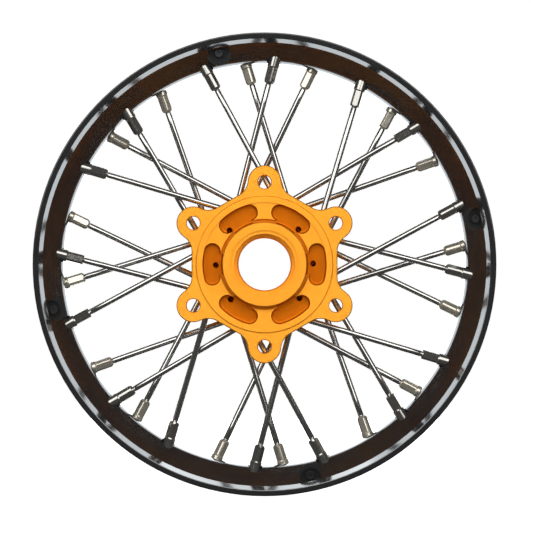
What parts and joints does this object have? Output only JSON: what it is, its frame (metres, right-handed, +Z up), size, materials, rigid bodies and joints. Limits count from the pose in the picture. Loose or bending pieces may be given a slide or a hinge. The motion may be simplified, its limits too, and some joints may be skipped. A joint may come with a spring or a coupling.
{
  "type": "spoked wheel",
  "caption": "Spoked wheel: machined alloy hub with six drive ears, two-piece black rim, crossing straight spokes with square nipples, for an axle through the hub.",
  "frame": {"origin": "centre of the wheel, on the axle's line at the rim's mid-plane", "axes": "+Y along the axle, away from the eared face; +Z up; +X to the right seen from the eared side"},
  "size_m": [0.318, 0.0556, 0.318],
  "materials": {
    "hub_orange": "satin orange anodised",
    "rim_black": "gloss black anodised",
    "spoke_steel": "polished stainless",
    "nipple_nickel": "bright nickel plate",
    "screw_black": "black oxide"
  },
  "bodies": {
    "wheel": {"hub": "hub_orange", "rim_front_ring": "rim_black", "rim_rear_ring": "rim_black", "rim_screw_1": "screw_black", "rim_screw_2": "screw_black", "rim_screw_3": "screw_black", "rim_screw_4": "screw_black", "front_spoke_pair_1": "spoke_steel", "front_spoke_pair_2": "spoke_steel", "front_spoke_pair_3": "spoke_steel", "front_spoke_pair_4": "spoke_steel", "front_spoke_pair_5": "spoke_steel", "front_spoke_pair_6": "spoke_steel", "front_spoke_pair_7": "spoke_steel", "front_spoke_pair_8": "spoke_steel", "rear_spoke_pair_1": "spoke_steel", "rear_spoke_pair_2": "spoke_steel", "rear_spoke_pair_3": "spoke_steel", "rear_spoke_pair_4": "spoke_steel", "rear_spoke_pair_5": "spoke_steel", "rear_spoke_pair_6": "spoke_steel", "rear_spoke_pair_7": "spoke_steel", "rear_spoke_pair_8": "spoke_steel"},
    "front_nipple_01": {"front_nipple_01": "nipple_nickel"},
    "front_nipple_02": {"front_nipple_02": "nipple_nickel"},
    "front_nipple_03": {"front_nipple_03": "nipple_nickel"},
    "front_nipple_04": {"front_nipple_04": "nipple_nickel"},
    "front_nipple_05": {"front_nipple_05": "nipple_nickel"},
    "front_nipple_06": {"front_nipple_06": "nipple_nickel"},
    "front_nipple_07": {"front_nipple_07": "nipple_nickel"},
    "front_nipple_08": {"front_nipple_08": "nipple_nickel"},
    "front_nipple_09": {"front_nipple_09": "nipple_nickel"},
    "front_nipple_10": {"front_nipple_10": "nipple_nickel"},
    "front_nipple_11": {"front_nipple_11": "nipple_nickel"},
    "front_nipple_12": {"front_nipple_12": "nipple_nickel"},
    "front_nipple_13": {"front_nipple_13": "nipple_nickel"},
    "front_nipple_14": {"front_nipple_14": "nipple_nickel"},
    "front_nipple_15": {"front_nipple_15": "nipple_nickel"},
    "front_nipple_16": {"front_nipple_16": "nipple_nickel"},
    "rear_nipple_01": {"rear_nipple_01": "nipple_nickel"},
    "rear_nipple_02": {"rear_nipple_02": "nipple_nickel"},
    "rear_nipple_03": {"rear_nipple_03": "nipple_nickel"},
    "rear_nipple_04": {"rear_nipple_04": "nipple_nickel"},
    "rear_nipple_05": {"rear_nipple_05": "nipple_nickel"},
    "rear_nipple_06": {"rear_nipple_06": "nipple_nickel"},
    "rear_nipple_07": {"rear_nipple_07": "nipple_nickel"},
    "rear_nipple_08": {"rear_nipple_08": "nipple_nickel"},
    "rear_nipple_09": {"rear_nipple_09": "nipple_nickel"},
    "rear_nipple_10": {"rear_nipple_10": "nipple_nickel"},
    "rear_nipple_11": {"rear_nipple_11": "nipple_nickel"},
    "rear_nipple_12": {"rear_nipple_12": "nipple_nickel"},
    "rear_nipple_13": {"rear_nipple_13": "nipple_nickel"},
    "rear_nipple_14": {"rear_nipple_14": "nipple_nickel"},
    "rear_nipple_15": {"rear_nipple_15": "nipple_nickel"},
    "rear_nipple_16": {"rear_nipple_16": "nipple_nickel"}
  },
  "joints": [
    {"name": "front_nipple_01_turn", "type": "hinge", "parent": "wheel", "child": "front_nipple_01", "pos_m": [0.13374, -0.006, 0.04028], "axis": [-0.8768, -0.0743, -0.4751], "range_deg": [-360, 360]},
    {"name": "front_nipple_02_turn", "type": "hinge", "parent": "wheel", "child": "front_nipple_02", "pos_m": [0.13951, -0.006, -0.00673], "axis": [-0.9683, -0.0083, 0.2495], "range_deg": [-360, 360]},
    {"name": "front_nipple_03_turn", "type": "hinge", "parent": "wheel", "child": "front_nipple_03", "pos_m": [0.06609, -0.006, 0.12305], "axis": [-0.2841, -0.0743, -0.9559], "range_deg": [-360, 360]},
    {"name": "front_nipple_04_turn", "type": "hinge", "parent": "wheel", "child": "front_nipple_04", "pos_m": [0.10341, -0.006, 0.0939], "axis": [-0.8612, -0.0083, -0.5083], "range_deg": [-360, 360]},
    {"name": "front_nipple_05_turn", "type": "hinge", "parent": "wheel", "child": "front_nipple_05", "pos_m": [-0.04028, -0.006, 0.13374], "axis": [0.4751, -0.0743, -0.8768], "range_deg": [-360, 360]},
    {"name": "front_nipple_06_turn", "type": "hinge", "parent": "wheel", "child": "front_nipple_06", "pos_m": [0.00673, -0.006, 0.13951], "axis": [-0.2495, -0.0083, -0.9683], "range_deg": [-360, 360]},
    {"name": "front_nipple_07_turn", "type": "hinge", "parent": "wheel", "child": "front_nipple_07", "pos_m": [-0.12305, -0.006, 0.06609], "axis": [0.9559, -0.0743, -0.2841], "range_deg": [-360, 360]},
    {"name": "front_nipple_08_turn", "type": "hinge", "parent": "wheel", "child": "front_nipple_08", "pos_m": [-0.0939, -0.006, 0.10341], "axis": [0.5083, -0.0083, -0.8612], "range_deg": [-360, 360]},
    {"name": "front_nipple_09_turn", "type": "hinge", "parent": "wheel", "child": "front_nipple_09", "pos_m": [-0.13374, -0.006, -0.04028], "axis": [0.8768, -0.0743, 0.4751], "range_deg": [-360, 360]},
    {"name": "front_nipple_10_turn", "type": "hinge", "parent": "wheel", "child": "front_nipple_10", "pos_m": [-0.13951, -0.006, 0.00673], "axis": [0.9683, -0.0083, -0.2495], "range_deg": [-360, 360]},
    {"name": "front_nipple_11_turn", "type": "hinge", "parent": "wheel", "child": "front_nipple_11", "pos_m": [-0.06609, -0.006, -0.12305], "axis": [0.2841, -0.0743, 0.9559], "range_deg": [-360, 360]},
    {"name": "front_nipple_12_turn", "type": "hinge", "parent": "wheel", "child": "front_nipple_12", "pos_m": [-0.10341, -0.006, -0.0939], "axis": [0.8612, -0.0083, 0.5083], "range_deg": [-360, 360]},
    {"name": "front_nipple_13_turn", "type": "hinge", "parent": "wheel", "child": "front_nipple_13", "pos_m": [0.04028, -0.006, -0.13374], "axis": [-0.4751, -0.0743, 0.8768], "range_deg": [-360, 360]},
    {"name": "front_nipple_14_turn", "type": "hinge", "parent": "wheel", "child": "front_nipple_14", "pos_m": [-0.00673, -0.006, -0.13951], "axis": [0.2495, -0.0083, 0.9683], "range_deg": [-360, 360]},
    {"name": "front_nipple_15_turn", "type": "hinge", "parent": "wheel", "child": "front_nipple_15", "pos_m": [0.12305, -0.006, -0.06609], "axis": [-0.9559, -0.0743, 0.2841], "range_deg": [-360, 360]},
    {"name": "front_nipple_16_turn", "type": "hinge", "parent": "wheel", "child": "front_nipple_16", "pos_m": [0.0939, -0.006, -0.10341], "axis": [-0.5083, -0.0083, 0.8612], "range_deg": [-360, 360]},
    {"name": "rear_nipple_01_turn", "type": "hinge", "parent": "wheel", "child": "rear_nipple_01", "pos_m": [0.13903, 0.006, 0.01341], "axis": [-0.9552, 0.0083, -0.2957], "range_deg": [-360, 360]},
    {"name": "rear_nipple_02_turn", "type": "hinge", "parent": "wheel", "child": "rear_nipple_02", "pos_m": [0.13552, 0.006, -0.03381], "axis": [-0.8986, 0.0743, 0.4325], "range_deg": [-360, 360]},
    {"name": "rear_nipple_03_turn", "type": "hinge", "parent": "wheel", "child": "rear_nipple_03", "pos_m": [0.08883, 0.006, 0.10779], "axis": [-0.4664, 0.0083, -0.8845], "range_deg": [-360, 360]},
    {"name": "rear_nipple_04_turn", "type": "hinge", "parent": "wheel", "child": "rear_nipple_04", "pos_m": [0.11974, 0.006, 0.07192], "axis": [-0.9412, 0.0743, -0.3296], "range_deg": [-360, 360]},
    {"name": "rear_nipple_05_turn", "type": "hinge", "parent": "wheel", "child": "rear_nipple_05", "pos_m": [-0.01341, 0.006, 0.13903], "axis": [0.2957, 0.0083, -0.9552], "range_deg": [-360, 360]},
    {"name": "rear_nipple_06_turn", "type": "hinge", "parent": "wheel", "child": "rear_nipple_06", "pos_m": [0.03381, 0.006, 0.13552], "axis": [-0.4325, 0.0743, -0.8986], "range_deg": [-360, 360]},
    {"name": "rear_nipple_07_turn", "type": "hinge", "parent": "wheel", "child": "rear_nipple_07", "pos_m": [-0.10779, 0.006, 0.08883], "axis": [0.8845, 0.0083, -0.4664], "range_deg": [-360, 360]},
    {"name": "rear_nipple_08_turn", "type": "hinge", "parent": "wheel", "child": "rear_nipple_08", "pos_m": [-0.07192, 0.006, 0.11974], "axis": [0.3296, 0.0743, -0.9412], "range_deg": [-360, 360]},
    {"name": "rear_nipple_09_turn", "type": "hinge", "parent": "wheel", "child": "rear_nipple_09", "pos_m": [-0.13903, 0.006, -0.01341], "axis": [0.9552, 0.0083, 0.2957], "range_deg": [-360, 360]},
    {"name": "rear_nipple_10_turn", "type": "hinge", "parent": "wheel", "child": "rear_nipple_10", "pos_m": [-0.13552, 0.006, 0.03381], "axis": [0.8986, 0.0743, -0.4325], "range_deg": [-360, 360]},
    {"name": "rear_nipple_11_turn", "type": "hinge", "parent": "wheel", "child": "rear_nipple_11", "pos_m": [-0.08883, 0.006, -0.10779], "axis": [0.4664, 0.0083, 0.8845], "range_deg": [-360, 360]},
    {"name": "rear_nipple_12_turn", "type": "hinge", "parent": "wheel", "child": "rear_nipple_12", "pos_m": [-0.11974, 0.006, -0.07192], "axis": [0.9412, 0.0743, 0.3296], "range_deg": [-360, 360]},
    {"name": "rear_nipple_13_turn", "type": "hinge", "parent": "wheel", "child": "rear_nipple_13", "pos_m": [0.01341, 0.006, -0.13903], "axis": [-0.2957, 0.0083, 0.9552], "range_deg": [-360, 360]},
    {"name": "rear_nipple_14_turn", "type": "hinge", "parent": "wheel", "child": "rear_nipple_14", "pos_m": [-0.03381, 0.006, -0.13552], "axis": [0.4325, 0.0743, 0.8986], "range_deg": [-360, 360]},
    {"name": "rear_nipple_15_turn", "type": "hinge", "parent": "wheel", "child": "rear_nipple_15", "pos_m": [0.10779, 0.006, -0.08883], "axis": [-0.8845, 0.0083, 0.4664], "range_deg": [-360, 360]},
    {"name": "rear_nipple_16_turn", "type": "hinge", "parent": "wheel", "child": "rear_nipple_16", "pos_m": [0.07192, 0.006, -0.11974], "axis": [-0.3296, 0.0743, 0.9412], "range_deg": [-360, 360]}
  ]
}
